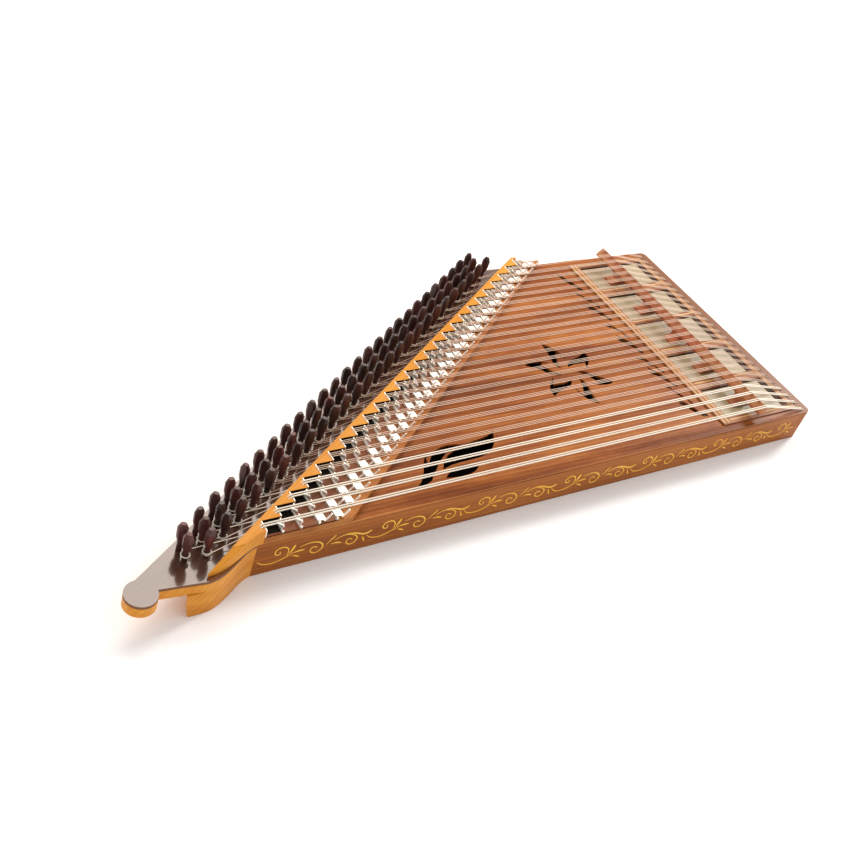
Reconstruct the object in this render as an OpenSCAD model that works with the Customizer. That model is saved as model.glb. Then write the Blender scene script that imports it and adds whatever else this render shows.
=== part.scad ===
// Plucked box zither of the trapezoid kind, with a slanting peg board on its left,
// flip levers beside the nut and a skin-covered bridge field on its right.
// The origin lies on the resting plane, under the middle of the overall outline.
// X runs from the pegs to the tail, Y from the player to the back, Z up.

/* [Body] */
// Depth of the body from the front side to the back side
body_w = 380; // [360:1:410]
// Length of the front side, which carries the bass strings
front_len = 848; // [820:1:900]
// Height of the soundboard's top face
body_h = 47; // [42:1:56]
// Thickness of the soundboard
board_t = 3; // [2.5:0.1:4]
// Thickness of the bottom board
bottom_t = 3; // [2:0.5:5]
// Thickness of the front and back sides
side_t = 8; // [5:0.5:11]
// Width of the tail block along the right side
tail_w = 19; // [17:0.5:24]
// Corner radius of the right-hand corners
corner_r = 8; // [3:0.5:11]

/* [Peg board] */
// Whole thickness of the peg board
peg_board_t = 15; // [12:0.5:18]
// Thickness of the dark top layer of the peg board
veneer_t = 3.5; // [2:0.5:6]
// Width of the peg board, square to the slanting line of the nut
peg_board_w = 52.5; // [51:0.5:60]
// Width of the slanting rail that carries the peg board, outside the nut line
rail_w = 11; // [8:0.5:16]
// Radius of the round head at the front end of the peg board
head_r = 16.2; // [13:0.2:18]
// How far the head stands out beyond the peg board's outer edge
head_out = 4.9; // [1:0.1:7]
// How far the head's centre lies in front of the front side
head_reach = 22.3; // [18:0.1:30]
// How far the end block stands out in front of the front side
block_reach = 28.5; // [24:0.5:32]
// Length of the end block's flat front face
block_flat = 19; // [12:0.5:26]
// How far the outer face of the rail and block slopes inwards towards the bottom
under = 4; // [1:0.5:6]

/* [Strings] */
// Number of courses of strings
courses = 26; // [20:1:26]
// Distance of the last course's nut from the back side
back_margin = 3.78; // [3:0.02:6]
// How much shorter each course is than the one before it
nut_step = 22.71; // [22:0.01:23]
// Number of courses that have two thick strings
bass_courses = 4; // [0:1:6]
// Radius of a thick string
bass_r = 0.8; // [0.5:0.05:0.9]
// Radius of a thin string
treble_r = 0.45; // [0.3:0.05:0.6]
// Distance between the two strings of a bass course
bass_gap = 2.9; // [2.4:0.1:3.2]
// Distance between the three strings of a treble course
treble_gap = 2.4; // [1.8:0.1:2.6]
// Distance of the string holes from the right-hand end
tail_inset = 12; // [9:0.5:14]
// Radius of each string hole
string_hole_r = 1.1; // [1:0.05:1.2]

/* [Nut] */
// Height of the nut board above the soundboard
nut_board_h = 18; // [16:0.5:22]
// Narrowest width of the nut board, along a string
nut_edge = 4.1; // [3:0.1:6]
// Distance from the front side's left end to the nut line, along the front
nut_inset = 16.9; // [14:0.1:19]
// Thickness of a metal nut plate
nut_t = 1.6; // [1:0.1:2]
// How far a metal nut plate stands above the nut board
nut_rise = 0.4; // [0.2:0.1:1]
// Clearance round each string in its hole through the nut board
thread_clear = 0.2; // [0.1:0.05:0.3]
// Slope of the string holes through the nut board
channel_angle = 25; // [20:1:28]

/* [Levers] */
// Thickness of the lever board
lever_board_t = 7.6; // [6:0.2:9]
// Length of the lever board's front edge to the right of the nut
lever_board_front = 101; // [96:1:110]
// Length of the lever board's back edge to the right of the nut
lever_board_back = 58; // [56:1:66]
// Lever spacing as a share of the string's length
lever_ratio = 0.028; // [0.024:0.0002:0.0285]
// Smallest lever spacing
lever_gap_min = 6.6; // [6.6:0.1:8]
// Room that a lying lever with a long plate takes
lever_room = 11.5; // [11:0.1:12]
// Longest lever plate
plate_len = 8.6; // [7.5:0.1:8.8]
// Width of a lever plate across the strings
plate_w = 8.4; // [6:0.1:8.6]
// Thickness of a lever plate
plate_t = 0.8; // [0.6:0.1:1]
// Width of a lever's finger tab
tab_w = 1.6; // [1.2:0.1:1.8]
// Radius of a lever's knuckle
knuckle_r = 1.1; // [1:0.05:1.2]
// Radius of a lever's pin
pin_r = 0.5; // [0.4:0.05:0.6]
// Thickness of a bracket's ear
ear_t = 0.7; // [0.5:0.1:0.8]
// Thickness of the wooden pad under a lever
pad_t = 1.2; // [0.8:0.1:1.2]
// Gap between the pads of one course and those of the next
pad_gap = 2; // [1.6:0.1:4]

/* [Pegs] */
// Radius of a peg's stem
stem_r = 3; // [2.6:0.1:3.1]
// Height of a peg's neck above the peg board
neck_h = 12; // [11:0.5:14]
// Height of a peg above the peg board
peg_h = 36.5; // [34:0.5:46]
// Greatest half width of a peg's head
peg_head_r = 5.8; // [4.6:0.1:5.9]
// Half thickness of a peg's head
peg_head_t = 3.6; // [3.2:0.1:4.2]
// How far a stem reaches below the peg board
stem_below = 6; // [2:0.5:10]
// Distance between the rear and middle rows of pegs
row_middle = 13.6; // [13.4:0.1:13.8]
// Distance between the rear and front rows of pegs
row_front = 28; // [27.8:0.1:28.2]
// Distance of the first rear peg from the nut line, along the strings
peg_inset = 59; // [57:0.5:61]
// Distance of the first rear peg from the front side
peg_front = 17; // [15:0.5:18]

/* [Skins and bridge] */
// Distance of the skin fields' left edge from the right-hand end
skin_far = 152; // [144:1:158]
// Distance of the skin fields' right edge from the right-hand end
skin_near = 29; // [26:1:34]
// Width of the raised frame around the skin fields
frame_w = 14; // [8:0.5:16]
// Thickness of the raised frame
frame_t = 1.4; // [1:0.1:2]
// Thickness of the skin
skin_t = 0.5; // [0.4:0.1:0.8]
// Distance of the bridge from the right-hand end
bridge_x = 101; // [92:1:110]
// Height of the bridge's crest above the soundboard
bridge_h = 22.4; // [20:0.2:26]
// Width of the bridge bar at its foot
bridge_w = 12; // [10:0.5:14]
// Height of a bridge foot above the skin
foot_h = 10; // [8:0.5:12]
// Length of a bridge foot along the strings
foot_len = 38; // [28:1:44]
// Width of a bridge foot across the strings
foot_w = 17; // [10:1:22]

/* [Sound holes] */
// Distance of the star rose from the right-hand end
star_x = 325.4; // [310:1:345]
// Distance of the star rose from the front side
star_y = 153; // [140:1:170]
// Radius of the star rose
star_r = 61; // [50:1:66]
// Distance of the leaf-shaped bass hole from the right-hand end
leaf_x = 575; // [560:1:590]
// Distance of the leaf-shaped bass hole from the front side
leaf_y = 50; // [46:1:60]
// Length of the group of long leaves
leaf_len = 155; // [140:1:160]
// Distance of the chain of small holes from the right-hand end
chain_x = 190; // [184:1:194]
// Length of one small leaf of the chain
chain_len = 40; // [32:1:42]

/* [Hidden] */
$fn = 48;
seat = 0.1;
run_gap = 0.05;
move_gap = 0.3;
lap = 1;
course_pitch = (body_w - back_margin) / courses;
peg_pitch = course_pitch - 0.12;
slope = nut_step / course_pitch;
slant = atan2(course_pitch, nut_step);
tips_x0 = -front_len - nut_inset;
edge_x0 = tips_x0 - nut_edge;
inner_x0 = -front_len;
rail_x0 = edge_x0 - rail_w / sin(slant);
outer_x0 = edge_x0 - peg_board_w / sin(slant);
head_y = -head_reach;
head_x = outer_x0 + slope * head_y + head_r / sin(slant) - head_out;
shift_x = (head_r - head_x) / 2;
shift_y = (head_reach + head_r - body_w) / 2;
board_z = body_h - board_t;
peg_board_z = body_h - peg_board_t;
lever_z = body_h + lever_board_t;
nut_wood_z = body_h + nut_board_h;
nut_z = nut_wood_z + nut_rise;
bridge_z = body_h + bridge_h;
channel_gap = 6;
lever_right0 = nut_x(1) + lever_board_front;
lever_right1 = nut_x(courses) + lever_board_back;
deep = body_w / 380;
skin_fields = [[20, 78], [94, 151], [166, 223], [231, 288], [305, 358]];
skins = len(skin_fields);
skin_y0 = skin_fields[0][0] * deep;
skin_y1 = skin_fields[skins - 1][1] * deep;
feet_y = [45, 115, 181, 249, 321];
foot_shift = 4.5;
frame_z = body_h + skin_t;
peg_x1 = tips_x0 - peg_inset;
peg_y1 = peg_front;
tab_rise = 8;
tab_run = 5;
ear_gap = 0.35;
bracket_base = 0.5;
brace_w = 6;
brace_h = 14;
jointed = 4;
chain_steps = [51, 119, 190, 262, 331];

// Colours of the materials
brown = "#6b3f2a";
orange_wood = "#b5652f";
maple = "#d8922f";
dark_wood = "#4a2c22";
rosewood = "#2a1e1e";
nickel = "#d8d8d2";
skin_colour = "#b7a585";
bridge_colour = "#a8684f";
cream = "#e8dcc0";

// Position of the nut and of each course
function nut_x(k) = tips_x0 + nut_step * k;
function nut_y(k) = course_pitch * k;
function course_y(k) = course_pitch * (k - 0.5);
function line_x(x0, y) = x0 + slope * y;
function is_bass(k) = k <= bass_courses;
function string_r(k) = is_bass(k) ? bass_r : treble_r;
function string_offsets(k) = is_bass(k) ? [0, bass_gap / 2, -bass_gap / 2] : [treble_gap, 0, -treble_gap];
function string_rows(k) = is_bass(k) ? [1, 2] : [0, 1, 2];

// Peg places: row 0 is the rear row, row 1 the middle row and row 2 the front row
function peg_row_y(row) = row == 0 ? 0 : row == 1 ? row_middle : row_front;
function peg_column(k, row) = row == 2 ? k + 1 : k;
function peg_x(k, row) = peg_x1 + nut_step * (peg_column(k, row) - 1);
function peg_y(k, row) =
    min(peg_y1 + peg_pitch * (peg_column(k, row) - 1) - peg_row_y(row), body_w - 5.5);
function peg_turn(k, row) = (k * 37 + row * 61) % 90 - 45;
function wind_z(row) = body_h + (row == 1 ? 9 : 5.5);

// Lever places, counted from the nut
function string_len(k) = -bridge_x - nut_x(k);
function lever_gap(k, j) =
    let (s = max(lever_ratio * string_len(k), lever_gap_min))
    j < 3 ? s : max(s, lever_room);
function lever_x(k, j) = nut_x(k) + (j == 0 ? 0 : lever_x_offset(k, j));
function lever_x_offset(k, j) = j == 0 ? 0 : lever_x_offset(k, j - 1) + lever_gap(k, j - 1);
function lever_len(k, j) = min(plate_len, lever_gap(k, j) - 1.5);
function string_low_z(k, x) = nut_z + seat + (bridge_z - nut_z) * (x - nut_x(k)) / string_len(k);
function hinge_z(k, j) = string_low_z(k, lever_x(k, j)) - move_gap - lever_len(k, j);
function tab_size(k, j) = min(tab_rise, lever_gap(k, j) - 2.2);

// Curves
function bezier4(a, b, c, d, t) =
    pow(1 - t, 3) * a + 3 * t * pow(1 - t, 2) * b + 3 * t * t * (1 - t) * c + pow(t, 3) * d;

// Moves a piece from the front right corner of the body to the part's own frame
module placed() {
    translate([shift_x, shift_y, 0]) children();
}

// Outlines of the body and its left-hand end
module body_outline(x0) {
    difference() {
        polygon([[line_x(x0, 0), 0], [0, 0], [0, body_w], [line_x(x0, body_w), body_w]]);
        for (m = [0, 1])
            translate([0, m * body_w]) mirror([0, m]) difference() {
                translate([-corner_r, -lap]) square([corner_r + lap, corner_r + lap]);
                translate([-corner_r, corner_r]) circle(r = corner_r);
            }
    }
}

module band(x0, x1, y0, y1) {
    polygon([[line_x(x0, y0), y0], [line_x(x1, y0), y0], [line_x(x1, y1), y1], [line_x(x0, y1), y1]]);
}

// Front curve that the end block and the peg board share
function block_front() =
    let (end_x = line_x(rail_x0, -block_reach) + block_flat + 3)
    [for (i = [0 : 12])
        bezier4([inner_x0, 0], [inner_x0 - 18, -3], [end_x + 24, -block_reach],
                [end_x, -block_reach], i / 12)];

module block_outline() {
    polygon(concat(block_front(),
        [[line_x(rail_x0, -block_reach) + 3, -block_reach],
         [line_x(rail_x0, -block_reach + 2), -block_reach + 2],
         [line_x(rail_x0, 0), 0]]));
}

module peg_board_outline() {
    polygon(concat(block_front(),
        [[head_x + head_r - 2, head_y - 0.5],
         [head_x, head_y],
         [line_x(outer_x0, head_y + 10), head_y + 10],
         [line_x(outer_x0, body_w), body_w],
         [line_x(edge_x0, body_w), body_w],
         [line_x(edge_x0, 0), 0]]));
}

module peg_holes() {
    for (k = [1 : courses]) for (row = [0 : 2])
        translate([peg_x(k, row), peg_y(k, row)]) circle(r = stem_r + run_gap);
}

// Body box
module bottom_board() {
    color(brown) placed() linear_extrude(bottom_t) body_outline(edge_x0);
}

module front_side() {
    color(brown) placed() translate([0, 0, bottom_t]) linear_extrude(board_z - bottom_t)
        polygon([[line_x(inner_x0, 0), 0], [-tail_w, 0], [-tail_w, side_t],
                 [line_x(inner_x0, side_t), side_t]]);
}

module back_side() {
    y0 = body_w - side_t;
    color(brown) placed() translate([0, 0, bottom_t]) linear_extrude(board_z - bottom_t)
        polygon([[line_x(inner_x0, y0), y0], [-tail_w, y0], [-tail_w, body_w],
                 [line_x(inner_x0, body_w), body_w]]);
}

module tail_block() {
    color(brown) placed() translate([0, 0, bottom_t]) linear_extrude(board_z - bottom_t)
        intersection() {
            body_outline(inner_x0);
            translate([-tail_w, 0]) square([tail_w, body_w]);
        }
}

// Wedge that slopes the outer face of the rail and of the end block inwards
module undercut() {
    translate([line_x(rail_x0, body_w + 20), body_w + 20, 0]) rotate([90, 0, slant - 90])
        linear_extrude((body_w + 70) / sin(slant))
            polygon([[-lap, -lap], [under + lap, -lap], [under + lap, 0], [under, 1.2],
                     [under - 0.5, 2.5], [0, peg_board_z], [-lap, peg_board_z]]);
}

module slant_rail() {
    color(maple) placed() {
        difference() {
            linear_extrude(peg_board_z) band(rail_x0, edge_x0, 0, body_w);
            undercut();
        }
        translate([0, 0, bottom_t]) linear_extrude(board_z - bottom_t) band(edge_x0, inner_x0, 0, body_w);
    }
}

module end_block() {
    color(maple) placed() difference() {
        linear_extrude(peg_board_z) block_outline();
        undercut();
    }
}

// Peg board in two layers, drilled for the pegs
module peg_plate(t) {
    difference() {
        union() {
            linear_extrude(t) peg_board_outline();
            translate([head_x, head_y, 0]) cylinder(r = head_r, h = t);
        }
        translate([0, 0, -lap]) linear_extrude(t + 2 * lap) peg_holes();
    }
}

module peg_board() {
    color(maple) placed() translate([0, 0, peg_board_z]) peg_plate(peg_board_t - veneer_t);
}

module peg_board_veneer() {
    color(dark_wood) placed() translate([0, 0, body_h - veneer_t]) peg_plate(veneer_t);
}

// A pointed leaf between two tips, the shape of every sound hole beside the rose
module leaf(tip_1, to_1, to_2, tip_2, back_1, back_2, n = 8) {
    polygon(concat([for (i = [0 : n]) bezier4(tip_1, to_1, to_2, tip_2, i / n)],
                   [for (i = [1 : n - 1]) bezier4(tip_2, back_1, back_2, tip_1, i / n)]));
}

// Rose of six forked arms around a centre
module star_holes() {
    for (i = [0 : 5])
        rotate(60 * i - 2.5) scale(star_r / 61)
            polygon([[-6.6, 61.8], [1, 57.5], [6.2, 49.5], [9.8, 40.5], [12.2, 27.5], [9.4, 32.5],
                     [6.6, 37.6], [4, 39.6], [0.6, 32.2], [-3.6, 25.5], [-5.6, 18.2], [-7.2, 10.5],
                     [-10.8, 15.8], [-12, 23], [-11.1, 30.4], [-8.4, 39.9], [-7.2, 48.4]]);
}

// Group of long leaves near the bass end
module leaf_holes() {
    scale(leaf_len / 155) {
        leaf([-80, -28], [-43, -20], [-49, 10], [-21, 26], [-53, 10], [-10, -24]);
        leaf([-43, -16], [-33, 22], [-3, 34], [25, 21], [-9, 22], [-21, 0]);
        leaf([-23, -8], [-5, 27], [45, 19], [75, 32], [53, -20], [15, 6]);
        leaf([-27, -21], [-13, -6], [9, -4], [24, -13], [13, -26], [-7, -25]);
    }
}

// Row of small slanting leaves across the soundboard
module chain_holes() {
    for (i = [0 : len(chain_steps) - 1])
        translate([0, chain_steps[i] * deep]) scale(chain_len / 40) {
            leaf([-8.5, 20], [-8.4, 4.5], [-2.6, -9.1], [8.5, -20], [8.4, -4.5], [2.6, 9.1], 5);
            if (i > 0) {
                translate([0.5, -39]) leaf([-4, 11], [-5.5, 3], [-2, -5], [4.5, -11], [5.2, -2.5], [2, 5], 4);
                translate([7.5, -57]) leaf([-1.5, 8], [-3.5, 2], [-1.5, -4], [2, -8], [3.5, -2], [1.8, 4], 4);
            }
        }
}

module skin_windows(inset) {
    for (field = skin_fields * deep)
        translate([-skin_far + inset, field[0] + inset])
            square([skin_far - skin_near - 2 * inset, field[1] - field[0] - 2 * inset]);
}

module string_holes() {
    for (k = [1 : courses]) for (row = string_rows(k))
        translate([-tail_inset, course_y(k) + string_offsets(k)[row]]) circle(r = string_hole_r);
}

module soundboard() {
    color(orange_wood) placed() translate([0, 0, board_z]) linear_extrude(board_t) difference() {
        body_outline(edge_x0);
        skin_windows(0);
        string_holes();
        translate([-star_x, star_y]) star_holes();
        translate([-leaf_x, leaf_y]) leaf_holes();
        translate([-chain_x, 0]) chain_holes();
    }
}

// Bars glued under the soundboard
module braces() {
    back_x = line_x(inner_x0, body_w);
    color(maple) placed() translate([0, 0, board_z - brace_h]) linear_extrude(brace_h) {
        for (x = [-skin_far - 14, -skin_near + 3])
            translate([x - brace_w / 2, side_t]) square([brace_w, body_w - 2 * side_t]);
        for (i = [0 : skins - 2])
            translate([-skin_far - 14 + brace_w / 2,
                       (skin_fields[i][1] + skin_fields[i + 1][0]) / 2 * deep - brace_w / 2])
                square([skin_far - skin_near + 17 - brace_w, brace_w]);
        for (x = [-0.575, -0.84] * front_len) {
            reach = (x + front_len) / slope - 2;
            translate([x, side_t]) square([brace_w, reach - side_t]);
        }
    }
}

// Stepped outline that the nut board and the lever board share
function steps() =
    [for (k = [1 : courses]) for (p = [[nut_x(k), nut_y(k - 1)], [nut_x(k), nut_y(k)]]) p];

module lever_board() {
    color(brown) placed() translate([0, 0, body_h]) linear_extrude(lever_board_t)
        polygon(concat(steps(),
            [[nut_x(courses) + 0.4 * nut_step, nut_y(courses)],
             [nut_x(courses) + 0.4 * nut_step, body_w],
             [lever_right1, body_w],
             [lever_right0, 0]]));
}

// Front end of the nut board, drawn out to a point on the peg board
function nut_front() =
    let (tip = [line_x(edge_x0, -block_reach + 5) - 6, -block_reach + 5])
    concat([for (i = [0 : 10])
        bezier4([nut_x(1), 0], [nut_x(1) - 20, 0], [tip[0] + 32, tip[1] + 1.5], tip, i / 10)],
        [[line_x(edge_x0, -10), -10]]);

module nut_board() {
    ramp_y = -9;
    ramp_end = -block_reach;
    color(maple) placed() difference() {
        translate([0, 0, body_h]) linear_extrude(nut_board_h)
            polygon(concat(nut_front(),
                [[line_x(edge_x0, body_w), body_w],
                 [nut_x(courses) + 0.4 * nut_step, body_w],
                 [nut_x(courses) + 0.4 * nut_step, nut_y(courses)]],
                [for (i = [2 * courses - 1 : -1 : 0]) steps()[i]]));
        translate([line_x(edge_x0, -block_reach) - 20, 0, 0]) rotate([90, 0, 90])
            linear_extrude(nut_x(1) - line_x(edge_x0, -block_reach) + 20)
            polygon([[ramp_y, nut_wood_z], [ramp_y, nut_wood_z + lap],
                     [ramp_end, nut_wood_z + lap], [ramp_end, body_h + 1.5]]);
        for (k = [1 : courses]) channel(k);
    }
}

// Sloping holes that lead the strings of a course from the nut down to their pegs
function channel_start(k) =
    let (x = line_x(edge_x0, course_y(k)) - channel_gap)
    [x, nut_z + seat + string_r(k) - (nut_x(k) + nut_t / 2 - x) * tan(channel_angle)];

module channel(k) {
    start = channel_start(k);
    for (row = string_rows(k))
        translate([start[0], course_y(k) + string_offsets(k)[row], start[1]])
            rotate([0, 90 - channel_angle, 0]) translate([0, 0, -2])
                cylinder(r = string_r(k) + thread_clear, h = 32, $fn = 24);
}

module metal_nuts() {
    h = nut_z - lever_z - nut_t / 2;
    color(nickel) placed() for (k = [1 : courses])
        translate([nut_x(k), nut_y(k - 1) + 0.6, lever_z]) {
            cube([nut_t, course_pitch - 1.2, h]);
            translate([nut_t / 2, 0, h]) rotate([-90, 0, 0]) cylinder(r = nut_t / 2, h = course_pitch - 1.2);
        }
}

// Wooden pads between the lever brackets
module pad(k, j) {
    x0 = lever_x(k, j) + (j == 0 ? nut_t + 0.4 : 1.7);
    w = lever_x(k, j + 1) - 1.7 - x0;
    d = course_pitch - pad_gap;
    r = min(j == 0 ? 1 : 5, w / 2 - 0.1);
    if (w > 1.5)
        translate([x0, course_y(k) - d / 2, lever_z]) linear_extrude(pad_t) {
            translate([r, 0]) square([w - r, d]);
            square([w, d - r]);
            translate([r, d - r]) circle(r = r);
        }
}

module lever_pads() {
    color(brown) placed() for (k = [1 : courses]) for (j = [0 : 3]) pad(k, j);
}

// U-shaped metal bracket with its pin
module bracket(k, j) {
    z = hinge_z(k, j);
    half = plate_w / 2 + tab_w / 2 + ear_gap;
    inner = 2 * half;
    outer = inner + 2 * ear_t;
    translate([lever_x(k, j), course_y(k), 0]) {
        translate([-1.2, 0, 0]) rotate([90, 0, 90]) linear_extrude(2.4)
            polygon([[-outer / 2, lever_z], [outer / 2, lever_z], [outer / 2, z + 1.2],
                     [inner / 2, z + 1.2], [inner / 2, lever_z + bracket_base],
                     [-inner / 2, lever_z + bracket_base], [-inner / 2, z + 1.2], [-outer / 2, z + 1.2]]);
        translate([0, -half - ear_t / 2, z]) rotate([-90, 0, 0]) cylinder(r = pin_r, h = inner + ear_t, $fn = 24);
    }
}

module lever_brackets() {
    color(nickel) placed() for (k = [1 : courses]) for (j = [1 : 4]) bracket(k, j);
}

// Lever lying towards the bridge, with its hinge line on the Y axis
module lever_shape(len, rise) {
    y0 = -plate_w / 2 + tab_w / 2;
    run = min(tab_run, rise);
    difference() {
        union() {
            translate([0, y0, 0]) rotate([-90, 0, 0]) cylinder(r = knuckle_r, h = plate_w, $fn = 32);
            translate([0, y0, -plate_t / 2]) cube([len, plate_w, plate_t]);
            translate([0, y0, 0]) rotate([90, 0, 0]) linear_extrude(tab_w)
                polygon([[len - 3, -plate_t / 2], [len - 1, -plate_t / 2], [len + run, rise - plate_t],
                         [len + run, rise], [len + run - 1, rise], [len - 1.6, plate_t / 2],
                         [len - 3, plate_t / 2]]);
        }
        translate([0, y0 - lap, 0]) rotate([-90, 0, 0]) cylinder(r = pin_r + run_gap, h = plate_w + 2 * lap, $fn = 24);
    }
}

module lever(k, j) {
    raised = j <= 2;
    color(nickel) placed() translate([lever_x(k, j), course_y(k), hinge_z(k, j)])
        rotate([0, raised ? -90 : 0, 0]) lever_shape(lever_len(k, j), tab_size(k, j));
}

module levers_raised() {
    for (k = [jointed + 1 : courses]) for (j = [1, 2]) lever(k, j);
}

module levers_lying() {
    for (k = [jointed + 1 : courses]) for (j = [3, 4]) lever(k, j);
}

// Skin sheet and the raised frame that holds it down
module skin() {
    color(skin_colour) placed() translate([0, 0, body_h]) linear_extrude(skin_t)
        translate([-skin_far - 5, skin_y0 - 5])
            square([skin_far - skin_near + 10, skin_y1 - skin_y0 + 10]);
}

module skin_frame() {
    reach = frame_w;
    far = skin_far + reach;
    side = 10;
    near = skin_near - 7;
    color(brown) placed() translate([0, 0, frame_z]) linear_extrude(frame_t) difference() {
        translate([-far, skin_y0 - side])
            square([far - near, skin_y1 - skin_y0 + 2 * side]);
        skin_windows(0.8);
    }
}

// Bridge bar with a narrow crest, carried on one foot for each skin field
module bridge() {
    z0 = body_h + skin_t + foot_h;
    h = bridge_z - z0;
    crest_r = 1.4;
    y0 = 6;
    left = bridge_w - 3;
    color(bridge_colour) placed() translate([-bridge_x, body_w - y0, z0]) rotate([90, 0, 0])
        linear_extrude(body_w - 2 * y0) {
            polygon([[-left, 0], [3, 0], [3, 2], [crest_r, h - crest_r], [-crest_r, h - crest_r],
                     [-left, 3]]);
            translate([0, h - crest_r]) circle(r = crest_r);
        }
}

module bridge_feet() {
    l = foot_len / 2;
    color(bridge_colour) placed() for (y = feet_y * deep)
        translate([-bridge_x, y + foot_w / 2, body_h + skin_t]) rotate([90, 0, 0])
            linear_extrude(foot_w)
                polygon([[-l - foot_shift, 0], [l - foot_shift, 0], [l - foot_shift - 1, 3],
                         [4.5, 5], [3, foot_h], [3 - bridge_w, foot_h], [2 - bridge_w, 5.5],
                         [-l * 0.7 - foot_shift, 4.4], [-l - foot_shift + 1, 3]]);
}

// Strings: each is one tube from its hole in the tail over the bridge and the nut to its peg
function string_route(k, row) =
    let (r = string_r(k), y = course_y(k) + string_offsets(k)[row], start = channel_start(k),
         side = row == 1 ? 1 : -1)
    [[-tail_inset, y, board_z + 0.2],
     [-tail_inset, y, body_h + 1.2 * r + 0.3],
     [-bridge_x, y, bridge_z + seat + r],
     [nut_x(k) + nut_t / 2, y, nut_z + seat + r],
     [start[0], y, start[1]],
     [peg_x(k, row), peg_y(k, row) + side * (stem_r + r + move_gap), wind_z(row)]];

function unit(v) = v / norm(v);
function ring(p, before, after, r) =
    let (n = unit(before + after), u = unit(cross(n, [0, 1, 0])), v = cross(n, u),
         stretch = 1 / (unit(before) * n))
    [for (i = [0 : 7]) p + r * (stretch * cos(45 * i) * u + sin(45 * i) * v)];

module string_tube(route, r) {
    last = len(route) - 1;
    steps = [for (i = [0 : last - 1]) unit(route[i + 1] - route[i])];
    rings = [for (i = [0 : last])
        each ring(route[i], steps[max(i - 1, 0)], steps[min(i, last - 1)], r)];
    sides = [for (i = [0 : last - 1]) for (j = [0 : 7])
        let (a = 8 * i + j, b = 8 * i + (j + 1) % 8)
        each [[a, b, a + 8], [b, b + 8, a + 8]]];
    caps = [for (j = [1 : 6]) each [[0, j + 1, j], [8 * last, 8 * last + j, 8 * last + j + 1]]];
    polyhedron(points = rings, faces = concat(sides, caps));
}

module strings_bass() {
    color(cream) placed() for (k = [1 : bass_courses]) for (row = string_rows(k))
        string_tube(string_route(k, row), string_r(k));
}

module strings_treble() {
    color(cream) placed() for (k = [bass_courses + 1 : courses]) for (row = string_rows(k))
        string_tube(string_route(k, row), string_r(k));
}

// Peg with a turned stem and a faceted head
module head_profile(half, neck, top) {
    polygon([[neck, 0], [half * 0.86, 6], [half, 13], [half * 0.8, 20], [top, peg_h - neck_h],
             [-top, peg_h - neck_h], [-half * 0.8, 20], [-half, 13], [-half * 0.86, 6], [-neck, 0]]);
}

module peg_head() {
    intersection() {
        translate([0, 6, 0]) rotate([90, 0, 0]) linear_extrude(12) head_profile(peg_head_r, stem_r, 2.4);
        rotate([90, 0, 90]) translate([0, 0, -6]) linear_extrude(12) head_profile(peg_head_t, stem_r, 1.8);
        for (a = [45]) rotate(a) translate([0, 7, 0]) rotate([90, 0, 0])
            linear_extrude(14) head_profile(peg_head_r * 1.02, stem_r + 0.6, 2.6);
        for (a = [-45]) rotate(a) translate([0, 7, 0]) rotate([90, 0, 0])
            linear_extrude(14) head_profile(peg_head_r * 1.02, stem_r + 0.6, 2.6);
    }
}

module peg(k, row) {
    color(rosewood) placed() translate([peg_x(k, row), peg_y(k, row), body_h]) rotate(peg_turn(k, row)) {
        translate([0, 0, -peg_board_t - stem_below])
            cylinder(r = stem_r, h = peg_board_t + stem_below + neck_h, $fn = 32);
        translate([0, 0, neck_h]) peg_head();
    }
}

module peg_row(row) {
    for (k = [jointed + 1 : courses]) peg(k, row);
}

module pegs_rear() {
    peg_row(0);
}

module pegs_middle() {
    peg_row(1);
}

module pegs_front() {
    peg_row(2);
}

bottom_board();
front_side();
back_side();
tail_block();
slant_rail();
end_block();
peg_board();
peg_board_veneer();
soundboard();
braces();
lever_board();
nut_board();
metal_nuts();
lever_pads();
lever_brackets();
levers_raised();
levers_lying();
skin_frame();
skin();
bridge();
bridge_feet();
strings_bass();
strings_treble();
pegs_rear();
pegs_middle();
pegs_front();
for (k = [1 : jointed]) for (j = [1 : 4])
    lever(k, j);
for (k = [1 : jointed]) for (row = [0 : 2])
    peg(k, row);
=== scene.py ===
import math

import bmesh
import bpy
from mathutils import Matrix, Vector


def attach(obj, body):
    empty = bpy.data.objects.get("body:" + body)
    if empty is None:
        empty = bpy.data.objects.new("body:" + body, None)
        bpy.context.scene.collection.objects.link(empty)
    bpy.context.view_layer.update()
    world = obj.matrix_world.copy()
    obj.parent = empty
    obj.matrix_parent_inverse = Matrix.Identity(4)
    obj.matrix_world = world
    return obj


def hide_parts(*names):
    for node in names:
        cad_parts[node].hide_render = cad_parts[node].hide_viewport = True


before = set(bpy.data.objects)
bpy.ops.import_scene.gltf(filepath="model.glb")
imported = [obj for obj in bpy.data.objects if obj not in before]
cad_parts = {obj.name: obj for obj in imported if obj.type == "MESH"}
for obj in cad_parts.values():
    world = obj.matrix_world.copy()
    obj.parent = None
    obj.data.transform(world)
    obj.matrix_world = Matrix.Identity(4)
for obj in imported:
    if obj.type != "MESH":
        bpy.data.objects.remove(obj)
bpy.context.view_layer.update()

MM = 0.001

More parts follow.
